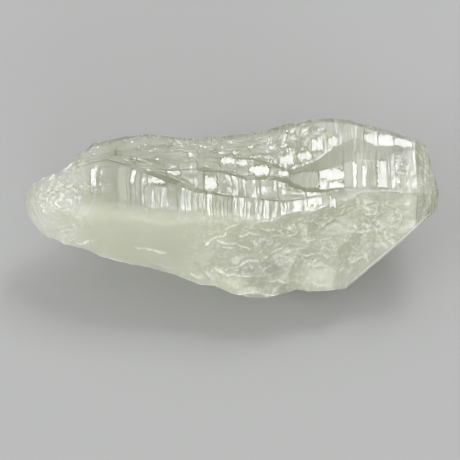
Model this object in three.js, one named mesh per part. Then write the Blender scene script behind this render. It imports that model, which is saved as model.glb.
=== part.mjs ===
// A rough quartz point lying on one of its prism faces: a distorted hexagonal prism with stepped
// growth terraces on its upper face, a six-sided termination at one end and a worn break at the other.
// Millimetres, +Z up, the crystal's c axis along X with the termination at +X, resting on z = 0.
//
// Every cross-section is a hexagon whose sides keep the quartz angles, 60 degrees apart. It is worked
// out in two oblique coordinates: the height z, and the spread u = y sin 60 + z cos 60. In (u, z) the
// six prism faces are the lines z = constant (top, base), u = constant (lower front, upper back),
// z - u = constant (upper front) and u - z = constant (lower back).
import * as THREE from "three";

// ---- Driving dimensions -------------------------------------------------------------------------
const LENGTH = 150; // broken end to tip
const TIP_X = LENGTH / 2;
const END_X = -LENGTH / 2;
const AXIS_HEIGHT = 40; // of the section's origin above the base face
const AXIS_SHIFT = -3.63; // of that origin along y, which centres the crystal on the frame
const TOP = 9.3; // upper prism face above that origin
const FACE_SLOPE = Math.tan(THREE.MathUtils.degToRad(38.2)); // rhombohedral face against the c axis

// ---- Outlines: [x, value] in millimetres -------------------------------------------------------
// Spread of the upper back edge, from the broken end to the shoulder of the termination.
const BACK_EDGE = [
  [-75, -1], [-74.3, 3], [-71.5, 6.2], [-64.7, 9.6], [-61, 10.8], [-56.7, 15.9], [-50, 21], [-44, 21.9],
  [-34, 24.2], [-26, 24.1], [-16, 22.4], [1, 23.8], [12, 25.4], [20, 27.7], [28, 29.6], [36, 30],
  [43, 29.5], [67, 22.4], [70.8, 20],
];
// Spread of the lower front edge. Its last stretch is the lower front face of the termination.
const FRONT_EDGE = [
  [-75, -1], [-74, -4.6], [-71.5, -8.8], [-68, -13], [-58, -17.2], [-37, -23.3], [-30, -24.2],
  [-18, -28], [-12, -30.6], [-6, -31.5], [0, -34], [7, -35.5], [13, -35.4], [20, -34], [24, -32.9],
  [29, -33.6], [42, -32.6], [74.1, -4],
];
// Spread of the crease between the upper face and the front face.
const CREASE = [
  [-75, -1], [-70, -2], [-50, -3.5], [-37, -4.5], [-20, -5.5], [0, -7], [8, -8], [14, -8], [22, -6],
  [30, -4.4], [37, -3.4], [41, -0.5], [47, 2.4], [66.4, 2.5],
];
// How far from the crease its rounding starts, on the face at either side of it.
const ROUNDING = [
  [-75, 0.3], [-66, 3], [-50, 6], [-24, 5.5], [-8, 3], [0, 2], [20, 1.2], [40, 0.3], [75, 0.2],
];
// Height of the upper face, of the base and of the back edge.
const UPPER = [
  [-75, -4], [-74, -1.5], [-71, 0.8], [-66, 3], [-60, 4.7], [-50, 6.9], [-40, 8.2], [-20, 9], [0, TOP],
];
const LOWER = [[-75, -4], [-74, -9], [-71, -16], [-66, -24], [-58, -31.5], [-50, -37], [-43, -AXIS_HEIGHT]];
const BACK_HEIGHT = [
  [-75, -4], [-71, -6], [-60, -7], [-45, -4.4], [0, -4.8], [40, -1.3], [54, -5.6], [66, -8.6],
];
const BASE_END = 27; // where the termination cuts the base face off
const RIDGE_X = 66.4; // where it cuts the upper face off
const BACK_CUT = [70.8, 3.26]; // where the steep back face of the tip meets the upper edge, and its slope
const BEVEL = 1.6; // wear along the upper back edge, at most this share of the upper face's width
const BEVEL_SHARE = 0.12;
const ROUNDING_SHARE = 0.48; // the crease's rounding takes at most this share of either face
const LEAST_SIDE = 0.2; // no side of a cross-section shrinks below this

// ---- Growth terraces on the upper face ----------------------------------------------------------
// Each ledge has a foot line and a brow line (spread along x) and a rise along x.
const LEDGES = [
  {
    foot: [
      [-75, -0.6], [-56, 12], [-45, 14.6], [-36, 11.6], [-28, 8.4], [-20, 5.6], [-12.6, 2.6], [0, 1],
      [20, -1], [40, 2.7], [75, 2.5],
    ],
    width: [[-46, 0.1], [-38, 1.6], [-20, 2.2], [-12, 1.6], [2, 0.1]],
    rise: [[-58, 0], [-38, 1.3], [-20, 1.8], [-12, 1.3], [2, 0]],
  },
  {
    foot: [
      [-75, -0.4], [-56, 14], [-44, 16.6], [-31, 13], [-24, 10.4], [-11, 10.8], [-3, 9.8], [6, 7.2],
      [15, 7.3], [20, 6.2], [27, 2.8], [41, 2.8], [75, 2.5],
    ],
    width: [[-32, 0.1], [-24, 0.8], [0, 1.1], [20, 1.5], [30, 1.3], [42, 0.1]],
    rise: [[-32, 0], [-24, 0.8], [0, 1.1], [20, 1.5], [30, 1.3], [42, 0]],
  },
  {
    foot: [
      [-75, -0.2], [-56, 15], [-30, 18], [-10, 17], [10, 14], [21, 9.9], [32, 10.4], [40, 12.8],
      [45, 14.5], [53, 14.5], [60, 17.4], [66.4, 18], [75, 2.6],
    ],
    width: [
      [-30, 0.2], [-12, 1], [10, 1], [22, 1], [30, 3.6], [37, 7], [46, 8], [53, 5], [60, 2.2], [66, 0.6],
      [75, 0],
    ],
    rise: [[-30, 0], [-12, 0.7], [10, 0.9], [22, 1], [30, 1.8], [36, 2.1], [66.4, 0.2], [68, 0]],
  },
];
// Steps across the terraces, at right angles to the c axis: [x, height of the face beyond it].
const CROSS_STEPS = [
  [
    [-43, 0], [-36, 0.35], [-30, -0.25], [-19, 0.3], [-9.5, -0.3], [0.5, 0.4], [8, -0.2], [17, 0.3],
    [26, -0.3], [36, 0.3], [41, 0],
  ],
  [
    [-28, 0], [-18.5, 0.35], [-10, -0.45], [-5, 0.3], [4, -0.25], [10.5, 0.35], [17, -0.3], [27, 0.3], [34, 0],
  ],
  [
    [-24, 0], [-12, 0.3], [2, -0.2], [13, 0.3], [31.5, 0.6], [40.5, -0.35], [44, 0.2], [49.5, -0.3],
    [52.5, 0.6], [56.4, -0.2], [62.9, 0],
  ],
  [
    [-50, 0], [-39, 0.4], [-29, -0.3], [-17, 0.35], [-3, -0.2], [8, 0.3], [18, -0.4], [29, 0.4],
    [38, -0.1], [48.5, 0.35], [58, 0],
  ],
];
const STEP_RUN = 0.3; // how far along x a cross step takes

// ---- Shell-like fracture bowls ------------------------------------------------------------------
// [x, degrees round the axis (0 is the front, 90 the top), offset along the face, radius, depth]
const BOWLS = [
  [4, 30, 15, 7, 1.5], [14, 30, 6, 8, 1.7], [23, 30, 14, 10, 2], [9, 30, 27, 8, 1.6], [34, 30, 22, 9, 1.8],
  [42, 30, 9, 9, 1.8], [55, 30, 5, 7, 1.3], [27, 30, 3, 6, 1], [-6, 30, 21, 5, 0.9], [24.5, 30, 33, 5, 1.4],
  [-61, 90, 4, 7, 1], [-54, 90, 10, 6, 0.9], [-66, 30, 8, 5, 0.8], [-57, 30, 14, 6, 0.8],
  [-68, -30, 4, 6, 1.2], [-60, -30, 14, 9, 1.8], [-46, -30, 10, 8, 1.4],
  [-26, -30, 16, 9, 1.5], [-4, -30, 6, 8, 1.3], [14, -30, 9, 7, 1.2], [-62, -150, 8, 10, 2.4],
  [-48, -150, 20, 11, 2], [-30, -150, 12, 10, 1.6], [-8, -150, 26, 9, 1.3], [12, -150, 10, 11, 1.7],
  [34, -150, 24, 9, 1.2], [-38, 150, 6, 6, 1.2], [-12, 150, 8, 5, 0.9], [22, 150, 7, 6, 1],
  [46, -90, 12, 11, 1.6], [56, -90, 6, 7, 0.9], [-69, -150, 9, 8.5, 0.9], [-66, -150, 2, 6, 0.5],
  [-65, -150, 14, 15, 1.4], [71, -90, 2.5, 4.6, 0.5], [70, -90, 14, 4, 0.4], [37, -90, 33, 5, 0.6],
  [51.6, -90, 31, 3.8, 0.36],
];
// The line inside the crystal that fractures and wear work towards.
const MIDDLE_Y = [[-75, 1.2], [-55, 3], [-30, 3.5], [60, 3.5], [70, 1.8], [75, 0.3]];
const MIDDLE_Z = [[-75, -4], [-55, -12], [-30, -15], [30, -14], [60, -2], [75, 2]];
// Lumps on the worn end: amplitude, and where along x they fade in.
const LUMP = 0.55;
const LUMP_FADE = [-46, -60];

// ---- Resolution ---------------------------------------------------------------------------------
// Cross sections stand evenly, and also close together round the worn end, where the termination's
// faces meet and on both sides of every cross step.
const STATION_GAP = 3;
const LEAST_GAP = 0.12;
const EVEN_FROM = -65;
const END_STATIONS = [END_X, -74.75, -74.3, -73.5, -72.3, -70.8, -69, -67];
const POINT_STATIONS = [42, RIDGE_X, BACK_CUT[0], 74.1, 74.7, TIP_X];
// Samples on each side of a cross-section.
const SAMPLES = {
  front: 10,
  plate: [3, 2, 3, 4],
  ledge: 1,
  bevel: 1,
  back: 2,
  lowerBack: 6,
  base: 3,
  lowerFront: 4,
};

const SIN60 = Math.sin(Math.PI / 3);
const COS60 = 0.5;

function along(points, x) {
  if (x <= points[0][0]) return points[0][1];
  for (let i = 1; i < points.length; i++) {
    const [x1, v1] = points[i];
    if (x <= x1) {
      const [x0, v0] = points[i - 1];
      return v0 + ((v1 - v0) * (x - x0)) / (x1 - x0);
    }
  }
  return points[points.length - 1][1];
}

// The height that the cross steps add to a terrace: level stretches joined by short ramps.
function crossStep(steps, x) {
  let height = 0;
  for (const [at, next] of steps) {
    const t = THREE.MathUtils.clamp((x - at) / STEP_RUN + 0.5, 0, 1);
    height += (next - height) * t;
  }
  return height;
}

const outward = (degrees) => {
  const a = THREE.MathUtils.degToRad(degrees);
  return new THREE.Vector2(-Math.cos(a), Math.sin(a)); // (y, z)
};

const fromOblique = (u, z) => new THREE.Vector2((u - COS60 * z) / SIN60, z);

// The corners of the cross-section at x, in order from the lower front edge over the top, each with
// the number of samples on the side that follows it and that side's outward direction.
function corners(x) {
  const past = Math.max(0, x - RIDGE_X);
  const top = along(UPPER, x) - FACE_SLOPE * past;
  let base = Math.max(along(LOWER, x), -AXIS_HEIGHT + FACE_SLOPE * (x - BASE_END));
  const cutAt = along(BACK_EDGE, BACK_CUT[0]) - TOP + FACE_SLOPE * (BACK_CUT[0] - RIDGE_X);
  const lowerBackAt = Math.min(
    along(BACK_EDGE, Math.min(x, RIDGE_X)) - along(BACK_HEIGHT, x),
    BACK_CUT[1] * (BACK_CUT[0] - x) + cutAt,
  );
  let backU = Math.min(along(BACK_EDGE, x), top + lowerBackAt);
  let frontU = along(FRONT_EDGE, x);

  // Terrace heights, from the back one down to the front one.
  const rises = LEDGES.map((l) => along(l.rise, x));
  const heights = [top, top, top, top];
  for (let k = 2; k >= 0; k--) heights[k] = heights[k + 1] - rises[k];
  for (let k = 0; k < 4; k++) {
    heights[k] = Math.min(heights[k] + crossStep(CROSS_STEPS[k], x), TOP - FACE_SLOPE * (x - RIDGE_X));
  }

  const creaseLine = along(CREASE, Math.min(x, RIDGE_X));
  const lowestTerrace = x > RIDGE_X ? TOP : along(UPPER, x) - rises.reduce((a, b) => a + b, 0);
  const frontAt = lowestTerrace - creaseLine - FACE_SLOPE * past;
  const creaseU = heights[0] - frontAt;
  backU = Math.max(backU, creaseU + 2 * LEAST_SIDE);
  frontU = Math.min(frontU, creaseU - LEAST_SIDE);
  base = Math.min(base, frontU + frontAt - LEAST_SIDE);
  const bevel = Math.min(BEVEL, (backU - creaseU) * BEVEL_SHARE);

  const list = [];
  const add = (u, z, samples, degrees) => {
    list.push({ at: fromOblique(u, z), samples, normal: outward(degrees) });
  };
  add(frontU, frontU + frontAt, SAMPLES.front, 30);
  let u = creaseU;
  const last = backU - bevel;
  const room = (last - creaseU) / 50; // kept between one ledge line and the next
  for (let k = 0; k < 3; k++) {
    add(u, heights[k], SAMPLES.plate[k], 90);
    const { foot: footLine, width } = LEDGES[k];
    const foot = THREE.MathUtils.clamp(along(footLine, x), u + room, last - room * (6 - 2 * k));
    const brow = THREE.MathUtils.clamp(foot + along(width, x), foot + room, last - room * (5 - 2 * k));
    add(foot, heights[k], SAMPLES.ledge, k === 2 ? 70 : 30);
    u = brow;
  }
  add(u, heights[3], SAMPLES.plate[3], 90);
  add(last, heights[3], SAMPLES.bevel, 120);
  const backTop = Math.max(heights[3] - bevel * 0.9, Math.min(backU - lowerBackAt, heights[3]));
  add(backU, backTop, SAMPLES.back, 150);
  add(backU, Math.min(backU - lowerBackAt, backTop - LEAST_SIDE / 2), SAMPLES.lowerBack, -150);
  add(Math.max(base + lowerBackAt, frontU + LEAST_SIDE), base, SAMPLES.base, -90);
  add(frontU, base, SAMPLES.lowerFront, -30);
  return list;
}

// The point that a quadratic curve rounding the corner puts in the place of a point on one of the
// corner's sides, t running from 0 where the curve starts to 1 where it ends.
function rounded(corner, before, after, reach, t) {
  const start = before.clone().sub(corner).setLength(reach * (1 - t) ** 2);
  const end = after.clone().sub(corner).setLength(reach * t ** 2);
  return corner.clone().add(start).add(end);
}

// The cross-section as evenly spaced samples on each side, with the crease, its second corner, rounded.
function section(x) {
  const list = corners(x);
  const [before, crease, after] = list.slice(0, 3).map((corner) => corner.at);
  const shortest = Math.min(before.distanceTo(crease), after.distanceTo(crease));
  const reach = Math.min(along(ROUNDING, x), ROUNDING_SHARE * shortest);
  return list.flatMap(({ at, samples }, k) => {
    const next = list[(k + 1) % list.length].at;
    return Array.from({ length: samples }, (_, s) => {
      let p = at.clone().lerp(next, s / samples);
      const distance = p.distanceTo(crease);
      if (k < 2 && distance < reach) {
        const t = 0.5 + ((k === 0 ? -1 : 1) * distance) / reach / 2;
        p = rounded(crease, before, after, reach, t);
      }
      return new THREE.Vector3(x, p.x, p.y);
    });
  });
}

// Where the cross sections stand along x.
function stations() {
  const set = [...END_STATIONS, ...POINT_STATIONS];
  for (const [x] of CROSS_STEPS.flat()) set.push(x - STEP_RUN / 2, x + STEP_RUN / 2);
  for (let x = EVEN_FROM; x < TIP_X; x += STATION_GAP) {
    if (set.every((other) => Math.abs(other - x) > STATION_GAP / 3)) set.push(x);
  }
  set.sort((a, b) => a - b);
  return set.filter((x, i) => i === 0 || x - set[i - 1] > LEAST_GAP);
}

// The spheres that leave the fracture bowls.
function bowlSpheres() {
  return BOWLS.map(([x, degrees, offset, radius, depth]) => {
    const list = corners(x);
    const side = list.findIndex((corner) => corner.normal.distanceTo(outward(degrees)) < 1e-6);
    const from = list[side].at;
    const to = list[(side + 1) % list.length].at;
    const direction = to.clone().sub(from).normalize();
    const start = degrees === 30 ? list[side + 1].at.clone() : from.clone();
    const spot = start.add(direction.multiplyScalar(degrees === 30 ? -offset : offset));
    const sphere = (radius * radius + depth * depth) / (2 * depth);
    const n = outward(degrees);
    const centre = new THREE.Vector3(x, spot.x + n.x * (sphere - depth), spot.y + n.y * (sphere - depth));
    return { centre, sphere };
  });
}

// Low waves of three unlike lengths, for the lumps of the worn end.
function lumps(p) {
  return (
    Math.sin(p.x * 0.71 + p.y * 0.43 + 1.3) * Math.cos(p.z * 0.52 - p.x * 0.19) +
    0.6 * Math.sin(p.y * 0.93 - p.z * 0.67 + 0.4) +
    0.4 * Math.sin(p.x * 1.37 + p.z * 1.11)
  );
}

function crystalGeometry() {
  const spheres = bowlSpheres();
  const rings = stations().map(section);
  for (const position of rings.flat()) {
    // Fractures and wear move a point straight towards the middle of the crystal.
    const middle = new THREE.Vector3(position.x, along(MIDDLE_Y, position.x), along(MIDDLE_Z, position.x));
    const ray = position.clone().sub(middle);
    let reach = ray.length();
    ray.divideScalar(reach);
    const fade = THREE.MathUtils.smoothstep(-position.x, -LUMP_FADE[0], -LUMP_FADE[1]);
    const closing = THREE.MathUtils.smoothstep(position.x, END_X, END_X + 4);
    reach += fade * closing * LUMP * (lumps(position) - 0.4);
    for (const { centre, sphere } of spheres) {
      const from = middle.clone().sub(centre);
      const b = from.dot(ray);
      const inside = b * b - from.lengthSq() + sphere * sphere;
      if (inside <= 0 || reach > -b + Math.sqrt(inside)) continue;
      reach = Math.min(reach, -b - Math.sqrt(inside));
    }
    position.copy(middle).addScaledVector(ray, reach);
    position.y += AXIS_SHIFT;
    position.z = Math.max(position.z, -AXIS_HEIGHT) + AXIS_HEIGHT;
  }
  const count = rings[0].length;
  const vertices = rings.flat().flatMap((p) => [p.x, p.y, p.z]);
  const triangles = [];
  for (let i = 0; i + 1 < rings.length; i++) {
    for (let j = 0; j < count; j++) {
      const next = (j + 1) % count;
      const a = i * count + j;
      const b = i * count + next;
      const c = (i + 1) * count + j;
      const d = (i + 1) * count + next;
      triangles.push(a, c, d, a, d, b);
    }
  }
  // Each end closes on the middle of its last ring.
  for (const [i, flip] of [[0, false], [rings.length - 1, true]]) {
    const middle = new THREE.Vector3();
    rings[i].forEach((p) => middle.add(p));
    middle.divideScalar(count);
    vertices.push(middle.x, middle.y, middle.z);
    const centre = vertices.length / 3 - 1;
    for (let j = 0; j < count; j++) {
      const a = i * count + j;
      const b = i * count + ((j + 1) % count);
      triangles.push(centre, flip ? b : a, flip ? a : b);
    }
  }
  const geometry = new THREE.BufferGeometry();
  geometry.setAttribute("position", new THREE.Float32BufferAttribute(vertices, 3));
  geometry.setIndex(triangles);
  geometry.computeVertexNormals();
  return geometry;
}

const quartz = new THREE.MeshStandardMaterial({
  color: 0xc3c4b0,
  roughness: 0.25,
  metalness: 0,
  transparent: true,
  opacity: 0.85,
});
const crystal = new THREE.Mesh(crystalGeometry(), quartz);
crystal.name = "quartz_crystal";

const part = new THREE.Group();
part.add(crystal);
export default part;
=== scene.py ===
import math

import bpy
import numpy as np
from mathutils import Matrix


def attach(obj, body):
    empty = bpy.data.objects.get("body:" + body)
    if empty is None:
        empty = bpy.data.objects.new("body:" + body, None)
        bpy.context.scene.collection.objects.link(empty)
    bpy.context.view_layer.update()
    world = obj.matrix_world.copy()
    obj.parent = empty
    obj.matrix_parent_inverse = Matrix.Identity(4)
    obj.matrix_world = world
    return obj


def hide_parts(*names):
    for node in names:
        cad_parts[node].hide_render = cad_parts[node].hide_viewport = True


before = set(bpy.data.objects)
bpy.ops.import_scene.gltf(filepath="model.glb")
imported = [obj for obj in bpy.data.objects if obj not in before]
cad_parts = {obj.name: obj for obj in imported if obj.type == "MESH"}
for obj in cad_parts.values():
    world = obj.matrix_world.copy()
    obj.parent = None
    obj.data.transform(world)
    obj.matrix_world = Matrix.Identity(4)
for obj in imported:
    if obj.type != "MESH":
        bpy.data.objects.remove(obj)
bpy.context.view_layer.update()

# ---- Quartz crystal ---------------------------------------------------------------------------
# A rough quartz point that grew as one crystal and was broken off its rock at one end. It lies on
# one of its six prism faces. It is a stack of cross-sections along its c axis, X, so its corners
# stay sharp; growth steps shift the sides, and fracture bowls are cut towards the middle.

# Sizes in millimetres, measured from the c axis, which is AXIS_HEIGHT over the floor. TOP is how
# high the upper face is at most. From RIDGE_X on, the faces of the termination fall at FACE_SLOPE.
MM = 0.001
LENGTH = 150
TIP_X = LENGTH / 2
END_X = -LENGTH / 2
RIDGE_X = 66.4
AXIS_HEIGHT = 40
AXIS_SHIFT = -3.63
TOP = 9.3
FACE_SLOPE = math.tan(math.radians(38.2))

# Outlines, as x and value. A spread is y sin 60 + z cos 60. These are the spreads of the back
# edge, of the lower front edge and of the crease between the upper and the front face.
BACK_EDGE = [
    (-75, -1), (-74.3, 3), (-71.5, 6.2), (-64.7, 9.6), (-61, 10.8), (-56.7, 15.9), (-50, 21),
    (-44, 21.9), (-34, 24.2), (-26, 24.1), (-16, 22.4), (1, 23.8), (12, 25.4), (20, 27.7),
    (28, 29.6), (36, 30), (43, 29.5), (67, 22.4), (70.8, 20),
]
FRONT_EDGE = [
    (-75, -1), (-74, -4.6), (-71.5, -8.8), (-68, -13), (-58, -17.2), (-37, -23.3), (-30, -24.2),
    (-18, -28), (-12, -30.6), (-6, -31.5), (0, -34), (7, -35.5), (13, -35.4), (20, -34),
    (24, -32.9), (29, -33.6), (42, -32.6), (74.1, -4),
]
CREASE = [
    (-75, -1), (-70, -2), (-50, -3.5), (-37, -4.5), (-20, -5.5), (0, -7), (8, -8), (14, -8),
    (22, -6), (30, -4.4), (37, -3.4), (41, -0.5), (47, 2.4), (66.4, 2.5),
]
# Where the front face is set by the terrace above it; it runs straight between these.
FRONT_KNOTS = (-75, -71, -66, -58, -46, -10, 4, 14, 22, 30, 37, 41, 47, 55, RIDGE_X, 75)
# How far from the crease the rounding between the upper and the front face starts.
ROUNDING = [
    (-75, 0.3), (-66, 3), (-50, 6), (-24, 4.5), (-8, 2.2), (0, 1.8), (20, 1.6), (40, 1),
    (46, 0.3), (75, 0.2),
]
# Heights of the upper face, of the base, and of the edge between the two back faces.
UPPER = [
    (-75, -4), (-74, -1.5), (-71, 0.8), (-66, 3), (-60, 4.7), (-50, 6.9), (-40, 8.2), (-20, 9),
    (0, TOP),
]
LOWER = [
    (-75, -4), (-74, -9), (-71, -16), (-66, -24), (-58, -31.5), (-50, -37), (-43, -AXIS_HEIGHT),
]
BACK_HEIGHT = [
    (-75, -4), (-71, -6), (-60, -7), (-45, -4.4), (0, -4.8), (40, -1.3), (54, -5.6), (66, -8.6),
]
# The middle of each section, which bowls and relief are cut towards.
MIDDLE_Y = [(-75, 1.2), (-55, 3), (-30, 3.5), (60, 3.5), (70, 1.8), (75, 0.3)]
MIDDLE_Z = [(-75, -4), (-55, -12), (-30, -15), (30, -14), (60, -2), (75, 2)]
# Past BASE_END the base rises to the tip, and a steep face cuts the back of the tip at BACK_CUT_X.
BASE_END = 27
BACK_CUT_X = 70.8
BACK_CUT_SLOPE = 3.26

# Growth ledges on the upper face: the spread of each foot line, the run and the rise of its riser.
LEDGES = [
    (
        [(-75, -0.6), (-56, 12), (-45, 14.6), (-36, 11.6), (-28, 8.4), (-20, 5.6), (-12.6, 2.6),
         (0, 1), (20, -1), (40, 2.7), (75, 2.5)],
        [(-46, 0.1), (-38, 1.6), (-20, 2.2), (-12, 1.6), (2, 0.1)],
        [(-58, 0), (-38, 1.3), (-20, 1.8), (-12, 1.3), (2, 0)],
    ),
    (
        [(-75, -0.4), (-56, 14), (-44, 16.6), (-31, 13), (-24, 10.4), (-11, 10.8), (-3, 9.8),
         (6, 7.2), (15, 7.3), (20, 6.2), (27, 2.8), (41, 2.8), (75, 2.5)],
        [(-32, 0.1), (-24, 0.8), (0, 1.1), (20, 1.5), (30, 1.3), (42, 0.1)],
        [(-32, 0), (-24, 0.8), (0, 1.1), (20, 1.5), (30, 1.3), (42, 0)],
    ),
    (
        [(-75, -0.2), (-56, 15), (-30, 18), (-10, 17), (10, 14), (21, 9.9), (32, 10.4), (40, 12.8),
         (45, 14.5), (53, 14.5), (60, 17.4), (66.4, 18), (75, 2.6)],
        [(-30, 0.2), (-12, 1), (10, 1), (22, 1), (30, 3.6), (37, 7), (46, 8), (53, 5), (60, 2.2),
         (66, 0.6), (75, 0)],
        [(-30, 0), (-12, 0.7), (10, 0.9), (22, 1), (30, 1.8), (36, 2.1), (66.4, 0.2), (68, 0)],
    ),
]
# Steps across each terrace: x, and the height of the terrace beyond it.
CROSS_STEPS = [
    [(-43, 0), (-36, 0.35), (-30, -0.25), (-19, 0.3), (-9.5, -0.3), (0.5, 0.4), (8, -0.2),
     (17, 0.3), (26, -0.3), (36, 0.3), (41, 0)],
    [(-28, 0), (-18.5, 0.2), (-10, -0.25), (-5, 0.15), (4, -0.15), (10.5, 0.2), (17, -0.2),
     (27, 0.2), (34, 0)],
    [(-24, 0), (-12, 0.3), (2, -0.2), (13, 0.3), (31.5, 0.4), (40.5, -0.2), (44, 0.1),
     (49.5, -0.1), (52.5, 0.25), (56.4, -0.1), (62.9, 0)],
    [(-50, 0), (-39, 0.12), (-29, -0.1), (-17, 0.12), (-3, -0.1), (8, 0.12), (18, -0.12),
     (29, 0.15), (38, -0.1), (48.5, 0.35), (58, 0)],
]
# How long the ramp of such a step is.
STEP_RUN = 0.3
# Large fracture bowls: x, the side they are in, their place on it, radius and depth.
BOWLS = [
    (4, 30, 15, 7, 1.5), (14, 30, 6, 8, 1.7), (23, 30, 14, 10, 2), (9, 30, 27, 8, 1.6),
    (34, 30, 22, 9, 1.8), (42, 30, 9, 9, 1.8), (55, 30, 5, 7, 1.3), (27, 30, 3, 6, 1),
    (-6, 30, 21, 5, 0.9), (24.5, 30, 33, 5, 1.4), (-61, 90, 4, 7, 1), (-54, 90, 10, 6, 0.9),
    (-66, 30, 8, 5, 0.8), (-57, 30, 14, 6, 0.8), (-68, -30, 4, 6, 1.2), (-60, -30, 14, 9, 1.8),
    (-46, -30, 10, 8, 1.4), (-26, -30, 16, 9, 1.5), (-4, -30, 6, 8, 1.3), (14, -30, 9, 7, 1.2),
    (-62, -150, 8, 10, 2.4), (-48, -150, 20, 11, 2), (-30, -150, 12, 10, 1.6),
    (-8, -150, 26, 9, 1.3), (12, -150, 10, 11, 1.7), (34, -150, 24, 9, 1.2), (-38, 150, 6, 6, 1.2),
    (-12, 150, 8, 5, 0.9), (22, 150, 7, 6, 1), (46, -90, 12, 11, 1.6), (56, -90, 6, 7, 0.9),
    (-69, -150, 9, 8.5, 0.9), (-66, -150, 2, 6, 0.5), (-65, -150, 14, 15, 1.4),
    (71, -90, 2.5, 4.6, 0.5), (70, -90, 14, 4, 0.4), (37, -90, 33, 5, 0.6),
    (51.6, -90, 31, 3.8, 0.36),
]
# How high the lumps of the worn end are, and how far the rim of a bowl is rounded.
LUMP = 0.55
RIM = 0.15
# The sides in order round a cross-section: its outward direction, 90 degrees being up, and its
# samples.
SIDES = [
    (30, 84), (90, 20), (30, 5), (90, 14), (30, 5), (90, 22), (70, 8), (90, 22), (120, 3),
    (150, 8), (-150, 20), (-90, 3), (-30, 10),
]
# How many cross-sections there are.
STATIONS = 440
# Faces that meet at less than this shade as one curved surface.
SHARP = math.radians(7)
# How far the steps on the first terrace lean towards the broken end between its foot and the
# crease.
LEAN = [(-12, 0), (0, 1.6), (12, 3), (20, 2), (28, 0)]
# How strong the fine growth steps are on each terrace, and on the front face under the crease.
STRENGTH = [
    [(-58, 0), (-50, 0.4), (-45, 0.1), (-38, 0.1), (-36, 0.5), (-31, 0.4), (-29, 0.1), (-21, 0.1),
     (-18.5, 0.5), (-17, 1), (9, 1), (19, 0.9), (22, 0.2), (66, 0.1)],
    [(-40, 0.1), (-10, 0.5), (-2, 0.9), (9, 0.8), (12, 0.3), (66, 0.1)],
    [(-40, 0.1), (16, 0.2), (30, 0.15), (42, 0.3), (51, 0.3), (52, 0.2), (56, 0.2), (57, 0.4),
     (62, 0.3)],
    [(-60, 0.5), (-50, 0.9), (-10, 0.9), (14, 0.7), (27, 0.7), (30, 0.1), (46, 0.1), (65, 0.1)],
]
FRONT_STRENGTH = [
    (-58, 0), (-48, 0.1), (-20, 0.05), (-8, 0.2), (14, 0.4), (20, 0.3), (38, 0.5), (66, 0.2),
]
# Flat growth patches on the upper face: x from and to, spread from and to, and the fall for each
# millimetre of x. They tip towards the termination and so mirror the light; one tips away from it.
PATCHES = [
    (48.2, 53.2, 17.6, 24.5, 0.085), (53.4, 58.8, 19, 24, 0.079), (59, 65.6, 18.6, 22.6, 0.072),
    (31.9, 40.6, 6.9, 11.6, 0.101), (29, 33.6, 17.4, 22.6, 0.107), (35.2, 38.6, 19.5, 23, 0.1),
    (17.5, 23, 12.2, 16.5, 0.119), (35.1, 40.6, 3, 6.9, 0.099), (52.5, 56.1, 3.3, 14.5, 0.081),
    (43.8, 45.3, 4, 14, 0.092), (47.2, 48.6, 4, 13, 0.088), (24, 29.5, 14.2, 17.6, 0.112),
    (16.9, 20.6, 8, 10.8, 0.121), (6.6, 13.5, 8.7, 12.6, 0.131), (-3.9, 1.4, 12.6, 15.6, 0.143),
    (1.8, 5.9, 12, 14.8, 0.138), (-9.7, -5, 3.3, 9, 0.15), (-23.4, -18, 8.6, 11.4, 0.165),
    (-50.4, -48.3, 3, 12, 0.197), (-47.2, -46.3, 4, 11, 0.195), (-36, -34.6, 5.4, 11.6, 0.182),
    (20.8, 31.6, 3.4, 10.2, -0.12), (27.2, 32.8, -2.4, 3.2, 0.108), (35.1, 37.7, -3.2, 1.1, 0.101),
    (-36, -29, 13.4, 15.2, 0.179), (-31, -22.5, -3, 5.5, 0.05), (26, 28.8, 25, 26.4, 0.111),
    (31, 34.6, 24.6, 26.2, 0.105), (15.8, 19.8, 22.4, 23.6, 0.122), (13, 16, 20.2, 21.4, 0.126),
    (0.2, 3.2, 16.4, 17.8, 0.14), (-8, -4.4, 17.6, 18.8, 0.149), (-34, -30, 18.4, 19.8, 0.178),
    (-24, -20.5, 19.6, 20.8, 0.167), (-16, -12.6, 15.8, 17, 0.158), (-42, -39, 16.6, 18, 0.188),
    (5.8, 9, 18.6, 19.8, 0.134), (-28, -25, 14.2, 15.4, 0.172),
]
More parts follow.
